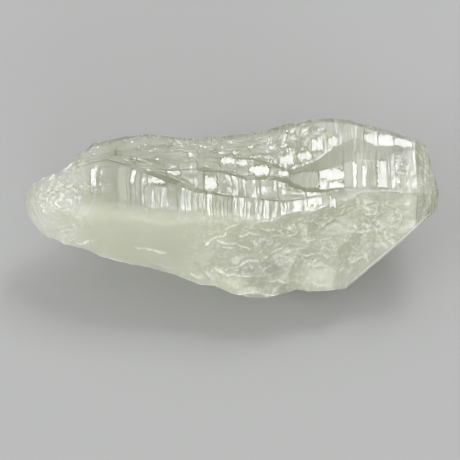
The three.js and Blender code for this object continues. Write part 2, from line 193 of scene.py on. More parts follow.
# Fields of small bowls: how many, x range, side, share of the side's width, radius range, depth as
# a share of the radius, stretch along x, and drift along the side for each millimetre of x.
FIELDS = [
    (30, (4, 42), 30, (0.2, 0.97), (3, 7), (0.05, 0.11), 1.6, -0.45),
    (8, (44, 62), 30, (0.5, 0.97), (3, 5), (0.05, 0.11), 1.6, -0.45),
    (110, (0, 42), 30, (0.0, 0.97), (1.2, 3.4), (0.06, 0.16), 1.9, -0.45),
    (50, (42, 66), 30, (0.24, 0.97), (1.2, 3), (0.06, 0.16), 1.9, -0.45),
    (120, (20, 43), 30, (0.62, 0.98), (0.7, 1.4), (0.14, 0.3), 1, 0),
    (50, (50, 66), 30, (0.5, 0.98), (0.7, 1.5), (0.1, 0.25), 1, 0),
    (26, (-64, -8), 30, (0.0, 0.16), (0.8, 2.2), (0.06, 0.18), 1.8, 0),
    (160, (-46, 24), 90, (0.1, 1), (0.9, 2.6), (0.07, 0.18), 2.4, 0.1),
    (20, (50, 66), 90, (0, 0.5), (0.7, 1.3), (0.1, 0.2), 1, 0),
    (60, (-68, -54), 30, (0.2, 1), (0.7, 2.2), (0.06, 0.18), 1, 0),
    (70, (-68, -52), 90, (0, 1), (0.7, 2), (0.06, 0.18), 1, 0),
    (40, (-66, -46), 150, (0, 1), (0.8, 2), (0.06, 0.18), 1.1, 0),
    (60, (-66, -30), -30, (0, 1), (1, 3), (0.06, 0.18), 1.2, 0),
    (60, (-30, 40), -30, (0, 1), (1.5, 4), (0.06, 0.18), 1.5, 0),
    (70, (-74, 60), -150, (0, 1), (2.5, 7), (0.06, 0.18), 1.6, 0.1),
    (36, (-46, 62), 150, (0, 1), (1, 2.6), (0.06, 0.18), 1.8, 0),
    (26, (30, 72), -90, (0, 1), (2, 5), (0.06, 0.18), 1, 0),
]

# Hackles, the pale crests that run through a fracture in quartz, and grooves, which have a height
# below 0: height, half width, and the line as points of x and spread.
CRESTS = [
    (0.35, 0.55, [(-7.9, -15.2), (-6, -14.5), (-4.2, -13.2), (-1.4, -10.5), (0.8, -9.4),
                  (3, -8.3)]),
    (0.25, 0.5, [(5.5, -9.2), (8, -10.5), (11.3, -10.6), (16, -11.6), (19.6, -13.7), (22.1, -13.4),
                 (24, -11.2), (22.5, -9)]),
    (0.26, 0.5, [(-4.6, -15.2), (-1.7, -15.7), (1.9, -16.3), (4.4, -17.3), (6.2, -18.8)]),
    (0.16, 0.5, [(-4.2, -16.3), (-1.7, -17), (0.5, -18.1)]),
    (0.25, 0.5, [(2.6, -13), (4.4, -12.6), (6.2, -11.9), (8.4, -13), (10.2, -13.4)]),
    (0.16, 0.5, [(9.9, -13.2), (13.5, -14.1), (17.1, -13.7), (19.6, -14.5)]),
    (0.35, 0.55, [(-7.5, -26), (-3.9, -26.4), (-1, -27.5), (3.3, -28.2), (7, -28.7)]),
    (0.32, 0.55, [(-2.1, -26), (0.1, -24.9), (2.6, -23.9), (4.4, -23.1), (7, -22.4),
                  (9.1, -22.8)]),
    (-0.8, 1.3, [(2.4, -26.1), (5, -25.6), (7.6, -25.2)]),
    (0.22, 0.5, [(-14.7, -27.1), (-12.9, -28.2), (-10.8, -29.3)]),
    (0.16, 0.5, [(12.7, -22), (14.9, -21), (17.1, -20.2), (17.8, -18.8)]),
    (0.16, 0.5, [(11.3, -26), (14.2, -25.3), (17.1, -23.5)]),
    (0.16, 0.5, [(21.8, -21.7), (23.9, -20.6), (27.9, -21.3), (31.5, -20.6), (33, -20.6),
                 (34.4, -22.4)]),
    (0.2, 0.5, [(32.3, -15.9), (34.4, -15.2), (36.2, -14.5)]),
    (0.16, 0.5, [(43.8, -16.6), (45.3, -18.1), (46.7, -19.5)]),
    (0.35, 0.6, [(43.8, -22.4), (45.6, -22.4), (47.4, -21.3), (49.6, -20.2)]),
    (0.32, 0.6, [(48.9, -5.4), (52.1, -4.3)]),
    (0.16, 0.5, [(55, -2.9), (59.4, -1.8), (63.7, -1.1)]),
    (0.3, 0.5, [(60.1, -4.3), (61.2, -6.1), (61.9, -8)]),
    (0.2, 0.5, [(37.7, -5.8), (39.5, -5.1), (41.7, -4)]),
    (0.1, 0.5, [(-34, -17.3), (-30.5, -17.9), (-28, -18.9), (-25, -19)]),
    (0.1, 0.5, [(-55, -15.8), (-52, -16.4), (-49.5, -16)]),
    (0.12, 0.45, [(24, -14.5), (27, -15.4), (30.5, -15), (33, -16.4)]),
    (0.1, 0.45, [(38, -10.5), (41, -11.8), (44.5, -11.2), (48, -12.6)]),
    (0.12, 0.45, [(51, -7.5), (53.5, -9), (56.5, -8.8), (60, -10.2)]),
    (0.1, 0.45, [(30, -26.5), (34, -25.8), (38, -26.6), (41, -25.4)]),
    (0.1, 0.45, [(12, -30), (16, -29.4), (21, -30.2)]),
]

# Sugary patches of small broken grains: x, spread and the half axes along both.
SUGAR = [
    (-62, 2, 12, 8), (-50, 5, 9, 3), (31, -7.5, 9, 5), (44, -1.5, 8, 4), (61, 8.5, 3.6, 7),
    (20, -11, 6, 3), (60, -6, 5, 5), (53, -3, 6, 4), (47, -21, 7, 3), (5, -26, 5, 3),
    (-57, 14, 6, 4), (61, 14, 4, 3), (50, -10, 8, 5), (56, -14, 5, 4), (36, -19, 6, 3),
    (12, -17, 7, 4), (27, -24, 7, 3),
]

SIN_60 = math.sin(math.radians(60))
# The sides by number: where each starts among the samples, the side of every sample, and the
# terraces, which are the sides that face up. BEVEL and BACK are the two sides behind them.
SIDE_STARTS = np.cumsum([0] + [samples for _, samples in SIDES])
COLUMNS = np.arange(SIDE_STARTS[-1])[None]
SIDE_OF = np.repeat(np.arange(len(SIDES)), [samples for _, samples in SIDES])[None]
TERRACES = [side for side, (degrees, _) in enumerate(SIDES) if degrees == 90]
BEVEL = TERRACES[-1] + 1
BACK = BEVEL + 1
# How many of the small bowls of the upper face are on each terrace, as shares of 1.
TERRACE_SHARES = [0.04, 0.1, 0.3, 0.56]
# Along x, the fine growth steps fade out between these.
FADE_OUT = [(62, 1), (66, 0)]
# The least width of a side, and the least width of a terrace as a share of the upper face.
GAP = 0.2
ROOM = 0.02
# The bevel along the back edge: its width, the most it takes of the upper face, and its slope.
BEVEL_WIDTH = 1.6
BEVEL_SHARE = 0.12
BEVEL_SLOPE = 0.9
# The most that the rounding of the crease takes of the sides next to it.
ROUNDING_SHARE = 0.48
# Treads: their mean width on each terrace and on the front face, the width of the riser between
# two of them, how far their middles go up and down, their mean slope and how much that varies, and
# how much less they slope for each millimetre of x.
TREAD_WIDTHS = (1.1, 1.4, 1.8, 1.7)
FRONT_TREAD_WIDTH = 1.1
RISER = 0.12
TREAD_HEIGHT = 0.06
TREAD_SLOPE = 0.14
TREAD_VARIES = 0.08
TREAD_LESS = 0.0011
# Growth patches: how ragged the edges are that run along x, how far these blend in, and how much a
# patch rises towards the back.
TEETH = 0.5
PATCH_EDGE = 0.6
PATCH_RISE = 0.055
# A small bowl ends at this many radii along x, and is at most this many times its depth deep.
SMALL_SPAN = 1.5
# Ripples in a bowl: their height, the radius from which they are that high, and how their phase
# grows with the distance from the point that was struck, and with its square.
RIPPLE = 0.016
RIPPLE_RADIUS = 5
RIPPLE_PHASE = (4.6, 0.25)

rng = np.random.default_rng(7)


def along(points, x):
    """A broken line through the points, read at x."""
    xs, values = zip(*points)
    return np.interp(x, xs, values)


def smooth(t):
    """The smooth step from 0 to 1."""
    t = np.clip(t, 0, 1)
    return t * t * (3 - 2 * t)


def fade(values, start, end):
    """0 up to start, 1 from end on, smooth between. It falls where end is below start."""
    return smooth((values - start) / (end - start))


def cross_steps(steps, x):
    """Level stretches joined by short ramps, each ramp centred on its step."""
    height = np.zeros_like(x)
    for at, level in steps:
        height += (level - height) * np.clip((x - at) / STEP_RUN + 0.5, 0, 1)
    return height


def tread_line(width):
    """Fine growth steps as a broken line of x and height. Treads have random widths and heights,
    most dip towards the termination, and they meet in steep risers."""
    edges = END_X + np.cumsum(width * rng.uniform(0.25, 1.9, int(1.3 * LENGTH / width)))
    widths = np.diff(edges) - RISER
    middle = rng.uniform(-TREAD_HEIGHT, TREAD_HEIGHT, len(widths))
    slope = rng.normal(TREAD_SLOPE, TREAD_VARIES, len(widths)) - TREAD_LESS * edges[1:]
    drop = slope * widths / 2
    knots = np.stack((edges[:-1], edges[:-1] + widths), 1)
    return list(zip(knots.ravel(), np.stack((middle + drop, middle - drop), 1).ravel()))


TREADS = [tread_line(width) for width in TREAD_WIDTHS]
FRONT_TREADS = tread_line(FRONT_TREAD_WIDTH)


def terrace_height(k, level, at, x, fine):
    """The height of terrace k: its level, its steps and its treads, all read at the place called
    at, and nowhere higher than the face of the termination."""
    treads = fine * along(STRENGTH[k], x) * along(TREADS[k], at)
    face = TOP - FACE_SLOPE * (x - RIDGE_X)
    return np.minimum(level + cross_steps(CROSS_STEPS[k], at) + treads, face)


def corner_lines(x, fine):
    """The corners of the cross-section at each x, from the lower front edge over the top, as
    arrays of y and z. Sides keep 60 degrees to each other; past the ridge the upper sides fall
    together at the slope of the termination, and the base rises to meet them. fine scales the
    growth steps."""
    fine = fine * along(FADE_OUT, x)
    past = np.maximum(0, x - RIDGE_X)
    top = along(UPPER, x) - FACE_SLOPE * past
    base = np.maximum(along(LOWER, x), -AXIS_HEIGHT + FACE_SLOPE * (x - BASE_END))
    cut_spread = along(BACK_EDGE, BACK_CUT_X) - TOP + FACE_SLOPE * (BACK_CUT_X - RIDGE_X)
    lower_back = np.minimum(
        along(BACK_EDGE, np.minimum(x, RIDGE_X)) - along(BACK_HEIGHT, x),
        BACK_CUT_SLOPE * (BACK_CUT_X - x) + cut_spread,
    )
    rises = [along(rise, x) for _, _, rise in LEDGES]
    levels = [top - sum(rises[k:]) for k in range(len(TERRACES))]
    heights = [terrace_height(k, level, x, x, fine) for k, level in enumerate(levels)]
    crease_z = terrace_height(0, levels[0], x + along(LEAN, x), x, fine)

    # The front face keeps its slope: height less spread is a broken line between the knots.
    knots = np.array(FRONT_KNOTS)
    under_ledges = along(UPPER, knots) - sum(along(rise, knots) for _, _, rise in LEDGES)
    knot_z = np.where(knots > RIDGE_X, TOP, under_ledges)
    knot_front = knot_z - along(CREASE, np.minimum(knots, RIDGE_X))
    front_at = np.interp(x, knots, knot_front) - FACE_SLOPE * past
    front_treads = fine * along(FRONT_STRENGTH, x) * along(FRONT_TREADS, x)

    crease_u = crease_z - front_at - front_treads
    back_u = np.maximum(np.minimum(along(BACK_EDGE, x), top + lower_back), crease_u + 2 * GAP)
    front_u = np.minimum(along(FRONT_EDGE, x), crease_u - GAP)
    base = np.minimum(base, front_u + front_at - GAP)
    bevel = np.minimum(BEVEL_WIDTH, (back_u - crease_u) * BEVEL_SHARE)
    last = back_u - bevel
    room = (last - crease_u) * ROOM

    lines = [(front_u, front_u + front_at), (crease_u, crease_z)]
    brow = crease_u
    for k, (foot_line, run, _) in enumerate(LEDGES):
        foot = np.clip(along(foot_line, x), brow + room, last - room * (6 - 2 * k))
        brow = np.clip(foot + along(run, x), foot + room, last - room * (5 - 2 * k))
        lines += [(foot, heights[k]), (brow, heights[k + 1])]
    highest = heights[-1]
    back_top = np.maximum(highest - bevel * BEVEL_SLOPE, np.minimum(back_u - lower_back, highest))
    lines += [
        (last, highest),
        (back_u, back_top),
        (back_u, np.minimum(back_u - lower_back, back_top - GAP / 2)),
        (np.maximum(base + lower_back, front_u + GAP), base),
        (front_u, base),
    ]
    return np.stack([np.stack(((u - 0.5 * z) / SIN_60, z), -1) for u, z in lines], 1)


def sections(stations):
    """The cross-sections as arrays of y and z, a row for each station. Sides are straight lines
    between the corners, and the corner at the crease is rounded as a quadratic curve."""
    corners = corner_lines(stations, 1)
    following = np.roll(corners, -1, 1)
    strips = []
    for side, (_, samples) in enumerate(SIDES):
        t = np.arange(samples)[None, :, None] / samples
        strips.append(corners[:, side : side + 1] * (1 - t) + following[:, side : side + 1] * t)
    corner = corners[:, 1:2]
    start, end = corners[:, 0:1] - corner, corners[:, 2:3] - corner
    start_length, end_length = (np.linalg.norm(v, axis=-1, keepdims=True) for v in (start, end))
    most = ROUNDING_SHARE * np.minimum(start_length, end_length)
    radius = np.minimum(along(ROUNDING, stations)[:, None, None], most)
    for side, sign in ((0, -1), (1, 1)):
        from_corner = np.linalg.norm(strips[side] - corner, axis=-1, keepdims=True)
        t = (sign * from_corner / radius + 1) / 2
        curve = corner + radius * ((1 - t) ** 2 * start / start_length + t**2 * end / end_length)
        strips[side] = np.where(from_corner < radius, curve, strips[side])
    section = np.concatenate(strips, 1)
    return section[..., 0], section[..., 1]


def first_side(degrees):
    """The first side that faces that way."""
    return [angle for angle, _ in SIDES].index(degrees)


def side_line(corners, side):
    """Where a side starts on each cross-section, and the line from there to its end."""
    start = corners[:, side]
    return start, corners[:, (side + 1) % len(SIDES)] - start


def large_bowls():
    """The bowls of the table as x, side, share of the side's width, radius, depth, stretch, drift
    and the corners at x. The table gives places in millimetres; on the front they count from the
    top."""
    bowls = []
    for x, degrees, distance, radius, depth in BOWLS:
        side = first_side(degrees)
        corners = corner_lines(np.array([float(x)]), 0)
        share = distance / np.linalg.norm(side_line(corners, side)[1])
        share = 1 - share if degrees == 30 else share
        bowls.append((x, side, share, radius, depth, 1, 0, corners))
    return bowls


def small_bowls():
    """Each field's bowls at random places, in the same form but without corners, as a small bowl
    follows its side where that slopes."""
    bowls = []
    for count, xs, degrees, share, radii, depths, stretch, drift in FIELDS:
        side = np.full(count, first_side(degrees))
        if degrees == 90:
            side = rng.choice(TERRACES, count, p=TERRACE_SHARES)
        radius = radii[0] + (radii[1] - radii[0]) * rng.random(count) ** 2
        depth = radius * rng.uniform(*depths, count)
        stretches = 1 + (stretch - 1) * rng.uniform(0.4, 1.6, count)
        drifts = drift * rng.uniform(0.5, 1.5, count)
        places = rng.uniform(*xs, count), side, rng.uniform(*share, count)
        bowls += zip(*places, radius, depth, stretches, drifts, [None] * count)
    return bowls


def lumps(x, y, z):
    """Low waves of three unlike lengths."""
    return (
        np.sin(x * 0.71 + y * 0.43 + 1.3) * np.cos(z * 0.52 - x * 0.19)
        + 0.6 * np.sin(y * 0.93 - z * 0.67 + 0.4)
        + 0.4 * np.sin(x * 1.37 + z * 1.11)
    )


def ridges(phase, x, y, z):
    """Sharp crests like those of broken glass: the phase is bent by the slow waves, and a crest,
    1, stands wherever its sine passes 0, with round hollows, 0, between."""
    return 1 - np.abs(np.sin(phase + 1.3 * lumps(x * 0.32, y * 0.32, z * 0.32)))


def tip_patches(x, y, z, spread):
    """The heights after the growth patches are tipped, and where the patches are. A patch is a
    plane through the mean place of what it covers of one terrace. It blends in over the edges that
    run along x, which are ragged, and ends sharply at the other two. Gives the rest of the upper
    face too."""
    faces_up = np.isin(SIDE_OF, TERRACES) & ~np.isin(COLUMNS, SIDE_STARTS)
    patched = np.zeros(x.shape, bool)
    teeth = rng.uniform(-TEETH, TEETH, len(x))[:, None]
    for x0, x1, u0, u1, fall in PATCHES:
        within = np.minimum(spread - u0, u1 - spread) + 0.15 * lumps(2.2 * x, u0, x0) + teeth
        torn = x + 0.08 * lumps(2.6 * spread, x0, u1)
        for side in TERRACES:
            on = (torn > x0) & (torn < x1) & (within > 0) & faces_up & (SIDE_OF == side)
            if on.any():
                plane = z[on].mean() - fall * (x - (x0 + x1) / 2) + PATCH_RISE * (y - y[on].mean())
                z = z + on * smooth(within / PATCH_EDGE) * (plane - z)
                patched |= on
    return z, patched, faces_up & ~patched


def cut_bowls(x, middle, ray, reach, patched):
    """Cuts the bowls into the surface, and gives its new reach from the middle of the section and
    the ripples. Each bowl takes a point along its ray to where the ray enters the bowl's sphere,
    with a rounded rim. Faint ripples run round the place that was struck. Growth patches stay
    whole."""
    stations = x[:, 0]
    plain = corner_lines(stations, 0)
    ripple = np.zeros_like(reach)
    for bowl in large_bowls() + small_bowls():
        bowl_x, side, share, radius, depth, stretch, drift, corners = bowl
        small = corners is None
        sphere = (radius**2 + depth**2) / (2 * depth)
        rows = np.abs(stations - bowl_x) < (SMALL_SPAN * radius if small else sphere) * stretch
        start, way = side_line(plain[rows] if small else corners, side)
        angle = math.radians(SIDES[side][0])
        outward = np.array([-math.cos(angle), math.sin(angle)])
        centre = start + way * share + outward * (sphere - depth)
        way = way / np.linalg.norm(way, axis=1, keepdims=True)
        dx = x[rows] - bowl_x
        from_y = middle[0][rows] - centre[:, :1] - dx * drift * way[:, :1]
        from_z = middle[1][rows] - centre[:, 1:] - dx * drift * way[:, 1:]
        b = from_y * ray[0][rows] + from_z * ray[1][rows]
        inside = b * b - from_y**2 - from_z**2 + sphere**2 - (dx / stretch) ** 2
        root = np.sqrt(np.maximum(inside, 0))
        beyond = reach[rows] + b + root
        cut = (beyond + np.hypot(beyond, RIM)) / 2
        cut = np.where((inside > 0) & (reach[rows] < root - b) & ~patched[rows], cut, 0)
        cut = np.minimum(cut, SMALL_SPAN * depth if small else np.inf)
        reach[rows] -= cut
        struck = np.hypot(dx + radius * stretch, from_y + ray[0][rows] * reach[rows])
        phase = struck * RIPPLE_PHASE[0] + RIPPLE_PHASE[1] * struck**2
        wave = RIPPLE * min(1, radius / RIPPLE_RADIUS) * np.sin(phase)
        ripple[rows] = np.where(cut > RIM, wave, ripple[rows])
    return reach, ripple


def chips(on, count, hollow, rises, cells):
    """Small chips over the part of the surface where on is above 0. Seeds are picked at random
    from its points. Each has a bowl, hollow times d^2 high at the distance d from its seed, on a
    plane of random slope, and the height is that of the lowest bowl, so that neighbours meet in
    sharp ridges. cells are the coordinates, measured in chip widths, and rises how much a plane
    may climb over one of them."""
    inside = on > 0
    points = np.stack([cell[inside] for cell in cells], -1)
    seeds = points[rng.choice(len(points), count, replace=False)]
    slopes = rng.uniform(-1, 1, seeds.shape) * rises
    raised = rng.uniform(-0.5, 0.5, count) * hollow * 0.5
    heights = raised + hollow * (seeds**2).sum(1) - (slopes * seeds).sum(1)
    bowls = points @ (slopes - 2 * hollow * seeds).T + heights
    lowest = bowls.min(1) + hollow * (points**2).sum(1)
    height = np.zeros(on.shape)
    height[inside] = np.minimum(lowest - lowest.mean(), 0.3 * hollow)
    return on * height


def crests(x, spread):
    """Height of the crests and how bruised they are. At the distance d from its line a crest
    stands exp(-(d / half width)^2) of its height high, and is bruised in a line half as wide. The
    place is first moved by slow waves, so that the lines wander."""
    height = np.zeros_like(x)
    bruised = np.zeros_like(x)
    moved_x = x + 0.7 * lumps(x * 1.1, spread * 1.1, 2.0)
    moved_u = spread + 0.5 * lumps(spread * 1.3, x * 0.9, 5.0)
    for rise, half_width, points in CRESTS:
        near = np.full_like(x, np.inf)
        for (x0, u0), (x1, u1) in zip(points, points[1:]):
            dx, du = x1 - x0, u1 - u0
            t = np.clip(((moved_x - x0) * dx + (moved_u - u0) * du) / (dx**2 + du**2), 0, 1)
            near = np.minimum(near, np.hypot(moved_x - x0 - t * dx, moved_u - u0 - t * du))
        height += rise * np.exp(-((near / half_width) ** 2))
        if rise > 0:
            line = np.exp(-((near / half_width * 2) ** 2))
            bruised = np.maximum(bruised, (0.45 + rise) * line)
    return height, bruised


def fine_relief(x, y, z, spread, patched, free, worn):
    """The relief under a millimetre, how white the surface is from bruised hackles and from a pale
    line along the lower front edge that is partly painted highlight, how sugary it is, and the
    upper flank as a mask. The relief is chips, hackles on the front and rings on the worn end."""
    # Across the front face, from 0 at its lower edge to 1 at the crease, its relief fades out near
    # both, and further up from the lower edge past x 40.
    across = COLUMNS / SIDES[0][1]
    edge_fade = across * (8 - 5 * fade(x, 40, 44))
    on_front = np.where(across < 1, smooth((1 - across) * 6) * smooth(edge_fade), 0)
    front = on_front * smooth((x + 4) / 14 + (spread + 20) / 60) * fade(x, 66, 58)
    flank = free * fade(spread, 10, 14) * fade(x, 36, 28) * fade(x, -62, -52)
    level = free * (1 - flank) * fade(x, -58, -50) * fade(x, 65, 63)
    sugar = np.zeros_like(x)
    for middle_x, middle_u, half_x, half_u in SUGAR:
        distance = np.hypot((x - middle_x) / half_x, (spread - middle_u) / half_u)
        sugar = np.maximum(sugar, smooth(2 - 2 * distance))
    sugar = sugar * (COLUMNS < SIDE_STARTS[BEVEL])
    torn_back = 0.8 * fade(x, -36, -44) * ((SIDE_OF >= TERRACES[-1]) & (SIDE_OF <= BACK))
    ragged = np.maximum(worn, torn_back) * ~patched
    on_back = (COLUMNS > SIDE_STARTS[BACK]) * fade(x, END_X, END_X + 8) * fade(x, TIP_X, TIP_X - 8)
    behind = on_back * (0.3 + 0.7 * fade(x, -20, 5))
    point = fade(x, RIDGE_X, RIDGE_X + 1.5)

    # Chips: long ones on the upper flank, faint ones on the level parts and the growth patches,
    # slanting ones in two sizes on the broken front, small ones in the sugary patches and at the
    # torn end, broad ones on the back and underneath, and narrow ones along the termination.
    slant = x + 0.5 * spread, spread - 0.3 * x
    relief = sum(
        chips(*row)
        for row in [
            (flank, 230, 0.5, (0.6, 0.4, 0.4), (x / 4.5 + spread / 6, y / 1.3, z / 1.3)),
            (level, 300, 0.03, (0.12, 0.06), (x / 1.6, spread / 6)),
            (patched, 520, 0.035, (0.09, 0.03), (x / 0.8, spread / 2.4)),
            (front, 110, 0.2, (0.3, 0.3), (slant[0] / 5, slant[1] / 3.2)),
            (front, 500, 0.2, (0.2, 0.2), (slant[0] / 2.2, slant[1] / 1.3)),
            (sugar, 700, 0.3, (0.3, 0.3), (x / 1.3, spread)),
            (ragged, 560, 0.2, (0.3, 0.2, 0.2), (x / 1.2, y / 2.4, z / 2.4)),
            (behind, 150, 0.5, (0.4, 0.4, 0.4), (x / 8, y / 4.5, z / 4.5)),
            (point, 200, 0.28, (0.35, 0.35, 0.35), (x / 0.9, y / 9, z / 9)),
        ]
    )
    hackles, whitening_and_highlight = crests(x, spread)
    relief = relief + on_front * hackles
    rings = ridges(1.9 * np.hypot(x + 61, spread + 1), 1.1 * x, 1.8 * y, 1.1 * z) - 0.5
    relief = relief + 0.22 * rings * ~patched * fade(x, -46, -56) * fade(x, -74, -71)

    # Hackles are bruised in random patches. The lower edge of the front near the tip gets a pale
    # line, partly bruising and partly painted highlight.
    grains = rng.random(x.shape)
    whitening_and_highlight = on_front * whitening_and_highlight * smooth(0.3 + grains + 0.5 * lumps(2.3 * x, 3.1 * spread, z))
    edge = np.exp(-(((spread - along(FRONT_EDGE, x) - 0.9) / 0.3) ** 2)) * (across < 1)
    whitening_and_highlight = np.maximum(whitening_and_highlight, 0.6 * edge * fade(x, 42, 46) * fade(x, 73, 71))
    return relief, whitening_and_highlight, sugar, flank


def quartz_grid(stations):
    """The crystal's surface on a grid of x by place round the section, how white it is from
    bruised hackles and from a pale line along the lower front edge that is partly painted
    highlight, and how sugary. Growth patches tip parts of the upper face. Then every point moves
    along its ray, the line from the middle of its section: wear at the broken end takes a little,
    bowls are cut, and the fine relief is added. Last, growth steps wander: every place moves along
    x by waves up the face."""
    y, z = sections(stations)
    x = np.broadcast_to(stations[:, None], y.shape)
    spread = y * SIN_60 + z / 2
    z, patched, free = tip_patches(x, y, z, spread)

    middle_y, middle_z = along(MIDDLE_Y, x), along(MIDDLE_Z, x)
    ray_y, ray_z = y - middle_y, z - middle_z
    reach = np.hypot(ray_y, ray_z)
    ray_y, ray_z = ray_y / reach, ray_z / reach
    worn = fade(x, -46, -60) * fade(x, END_X, END_X + 4)
    reach = reach + worn * ~patched * LUMP * (lumps(x, y, z) - 0.4)
    reach, ripple = cut_bowls(x, (middle_y, middle_z), (ray_y, ray_z), reach, patched)
    relief, whitening_and_highlight, sugar, flank = fine_relief(x, y, z, spread, patched, free, worn)
    reach = reach + ripple + relief
    y = middle_y + ray_y * reach + AXIS_SHIFT
    z = np.maximum(middle_z + ray_z * reach, -AXIS_HEIGHT) + AXIS_HEIGHT

    wander = 0.22 * np.sin(0.5 * spread + 0.13 * x) + 0.07 * np.sin(2.1 * spread - 0.3 * x + 1)
    wander = wander + 0.4 * flank * np.sin(1.9 * spread + 0.35 * x)
    x = x + wander * fade(x, -74, -66) * fade(x, 36, 24)
    return np.stack((x, y, z), -1), whitening_and_highlight, sugar


def closed_mesh(name, grid, whitening_and_highlight, sugar):
    """A mesh from a grid whose columns run round it. Each end closes on the middle of its last
    ring. Two attributes hold the two masks, which are 0 at the ends: the pale hackles with the
    pale line along the lower front edge that is partly painted highlight, and the sugary patches."""
    count, around = grid.shape[:2]
    i, j = np.meshgrid(np.arange(count - 1), np.arange(around), indexing="ij")
    a = i * around + j
    b = i * around + (j + 1) % around
    quads = np.stack((a, a + around, b + around, b), -1).reshape(-1, 4)
    ring = np.arange(around)
    following = (ring + 1) % around
    first, last = count * around, count * around + 1
    offset = (count - 1) * around
    start = np.stack((np.full(around, first), ring, following), -1)
    end = np.stack((np.full(around, last), offset + following, offset + ring), -1)
    points = np.concatenate((grid.reshape(-1, 3), [grid[0].mean(0)], [grid[-1].mean(0)]))
    mesh = bpy.data.meshes.new(name)
    mesh.from_pydata((points * MM).tolist(), [], quads.tolist() + start.tolist() + end.tolist())
    for key, values in (("bruised", whitening_and_highlight), ("sugary", sugar)):
        layer = mesh.attributes.new(key, "FLOAT", "POINT")
        layer.data.foreach_set("value", np.append(values.ravel(), (0, 0)).astype(np.float32))
    mesh.shade_smooth()
    mesh.set_sharp_from_angle(angle=SHARP)
    return mesh


# Stations stand closer together at the broken end, along the first fifth of the length.
evenly = np.linspace(0, 1, STATIONS)
stations = END_X + LENGTH * (evenly - 0.02 * np.sin(np.pi * np.minimum(evenly * 5, 1)))
crystal = bpy.data.objects.new("rough_quartz", closed_mesh("rough_quartz", *quartz_grid(stations)))
bpy.context.collection.objects.link(crystal)


def linear(hex_colour):
    """An sRGB hex colour as linear RGBA."""
    channels = [int(hex_colour[k : k + 2], 16) / 255 for k in (1, 3, 5)]
    return [c / 12.92 if c <= 0.04045 else ((c + 0.055) / 1.055) ** 2.4 for c in channels] + [1.0]


def add(tree, kind, values):
    """Adds a node and gives its outputs. values are attributes, or inputs by name or number:
    another node's output is linked to the input, and a number or colour is set on it. stops, pairs
    of a place and a colour, fill a colour ramp."""
    node = tree.nodes.new("ShaderNode" + kind)
    for key, value in values.items():
        if key == "stops":
            elements = node.color_ramp.elements
            while len(elements) < len(value):
                elements.new(0.5)
            for element, (position, colour) in zip(elements, value):
                element.position = position
                element.color = colour
        elif isinstance(value, bpy.types.NodeSocket):
            tree.links.new(value, node.inputs[key])
        elif isinstance(key, int) or key in node.inputs:
            node.inputs[key].default_value = value
        else:
            setattr(node, key, value)
    return node.outputs


# Quartz, silicon dioxide grown in hot water: clear with a faint green, clouded by fluid veils,
# glossy on its grown faces and frosted where it is worn.
quartz = bpy.data.materials.new("clouded rock crystal")
quartz.use_nodes = True
tree = quartz.node_tree
tree.nodes.clear()
where = add(tree, "TexCoord", {})["Object"]
position = add(tree, "SeparateXYZ", {"Vector": where})
surface = add(tree, "NewGeometry", {})
facing = add(tree, "SeparateXYZ", {"Vector": surface["Normal"]})
# Growth lines about 0.5 mm apart, drawn out along the faces.
line_place = add(tree, "Mapping", {"Vector": where, "Scale": (1300, 110, 110)})[0]
# Minus the spread of the crease between the upper and the front face, in metres, but for an even
# slope. The crease climbs towards the back between these two places.
crease = {"From Min": 0.014, "From Max": 0.05, "To Min": -0.01096, "To Max": -0.02266}
masks = {
    "X": position["X"],
    "Y": position["Y"],
    "Z": position["Z"],
    "normal Y": facing["Y"],
    "curved": surface["Pointiness"],
    # struck holds the pale hackles and the pale line along the lower front edge, which is partly
    # painted highlight.
    "struck": add(tree, "Attribute", {"attribute_name": "bruised"})["Fac"],
    "sugary patch": add(tree, "Attribute", {"attribute_name": "sugary"})["Fac"],
    "crease": add(tree, "MapRange", {"Value": position["X"], **crease})[0],
}
# Noise: its name, where it is read, the waves in a metre, its detail and its roughness. Clouds are
# fluid veils 5 to 30 mm across, and grains are about 0.8 mm across.
for name, source, scale, detail, roughness in [
    ("clouds", where, 60, 6, 0.6),
    ("edge noise", where, 140, 2, 0.5),
    ("spots", where, 160, 2, 0.5),
    ("flecks", where, 650, 4, 0.65),
    ("lines", line_place, 1, 2, 0.5),
    ("groups", where, 70, 1, 0.5),
    ("grain", where, 1200, 3, 0.5),
]:
    noise = {"Vector": source, "Scale": scale, "Detail": detail, "Roughness": roughness}
    masks[name] = add(tree, "TexNoise", noise)["Fac"]
